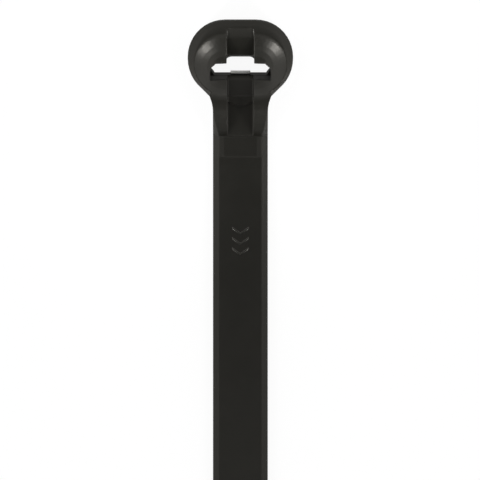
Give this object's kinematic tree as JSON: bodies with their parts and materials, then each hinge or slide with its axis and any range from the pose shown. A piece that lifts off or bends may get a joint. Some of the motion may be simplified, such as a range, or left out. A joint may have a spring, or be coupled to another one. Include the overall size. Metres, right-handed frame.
{
  "type": "cable tie",
  "caption": "Black nylon cable tie, laid out straight, with a rounded head, a slanted strap slot with a steel locking barb, and a ribbed, tapered tail.",
  "frame": {"origin": "middle of the tie's length and width, on the flat back that it lies on", "axes": "+Y along the strap towards the head, +X across the strap, +Z out of the front face"},
  "size_m": [0.0132, 0.222, 0.0043],
  "materials": {
    "black_nylon": "moulded, satin",
    "barb_steel": "rolled strip"
  },
  "bodies": {
    "root": {"tie_body": "black_nylon", "locking_barb": "barb_steel"}
  },
  "joints": []
}
